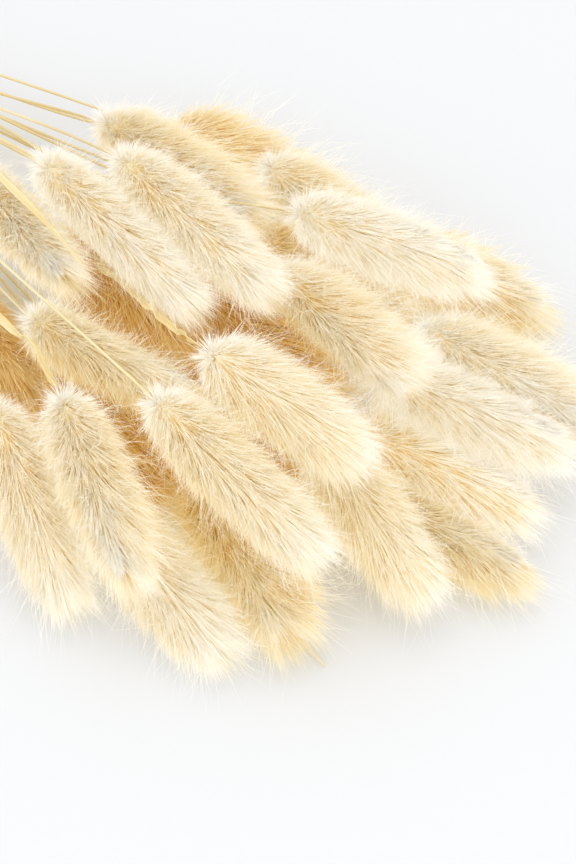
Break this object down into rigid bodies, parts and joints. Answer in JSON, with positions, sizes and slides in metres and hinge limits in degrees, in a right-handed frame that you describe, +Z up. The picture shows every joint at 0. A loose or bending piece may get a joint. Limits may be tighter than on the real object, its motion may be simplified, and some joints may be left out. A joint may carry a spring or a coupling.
{
  "type": "bunch of dried bunny tail grass",
  "caption": "Tied bunch of dried bunny tail grass lying on its side, with soft ovoid seed heads fanned out on slim straw stems.",
  "frame": {"origin": "under the middle of the bunch's box, on the surface that it lies on", "axes": "+X from the cut stem ends to the heads, +Y across the bunch, +Z up"},
  "size_m": [0.4426, 0.1288, 0.0436],
  "materials": {
    "fur": "soft silky fur of fine awns, bleached cream, near white at the tips and golden inside",
    "straw": "dry straw, satin, finely ribbed along its length",
    "twine": "matte twisted natural fibre twine"
  },
  "bodies": {
    "root": {"stem_top_front": "straw", "head_top_front": "fur", "stem_top_middle": "straw", "head_top_middle": "fur", "stem_near_front": "straw", "head_near_front": "fur", "stem_top_rear": "straw", "head_top_rear": "fur", "stem_top_rear_near": "straw", "head_top_rear_near": "fur", "stem_rear_near": "straw", "head_rear_near": "fur", "stem_rear_far": "straw", "head_rear_far": "fur", "stem_rear_far_low": "straw", "head_rear_far_low": "fur", "stem_far_middle": "straw", "head_far_middle": "fur", "stem_far_edge": "straw", "head_far_edge": "fur", "stem_top_far": "straw", "head_top_far": "fur", "stem_top_centre": "straw", "head_top_centre": "fur", "stem_under_centre": "straw", "head_under_centre": "fur", "stem_front_centre": "straw", "head_front_centre": "fur", "stem_front_centre_low": "straw", "head_front_centre_low": "fur", "stem_front_far": "straw", "head_front_far": "fur", "stem_far_low": "straw", "head_far_low": "fur", "stem_front_near": "straw", "head_front_near": "fur", "stem_front_edge": "straw", "head_front_edge": "fur", "stem_low_near_front": "straw", "head_low_near_front": "fur", "stem_near_edge": "straw", "head_near_edge": "fur", "stem_low_front": "straw", "head_low_front": "fur", "stem_near_rear": "straw", "head_near_rear": "fur", "stem_low_near_rear": "straw", "head_low_near_rear": "fur", "stem_low_rear": "straw", "head_low_rear": "fur", "stem_low_middle": "straw", "head_low_middle": "fur", "stem_low_near_middle": "straw", "head_low_near_middle": "fur", "tie": "twine"}
  },
  "joints": []
}
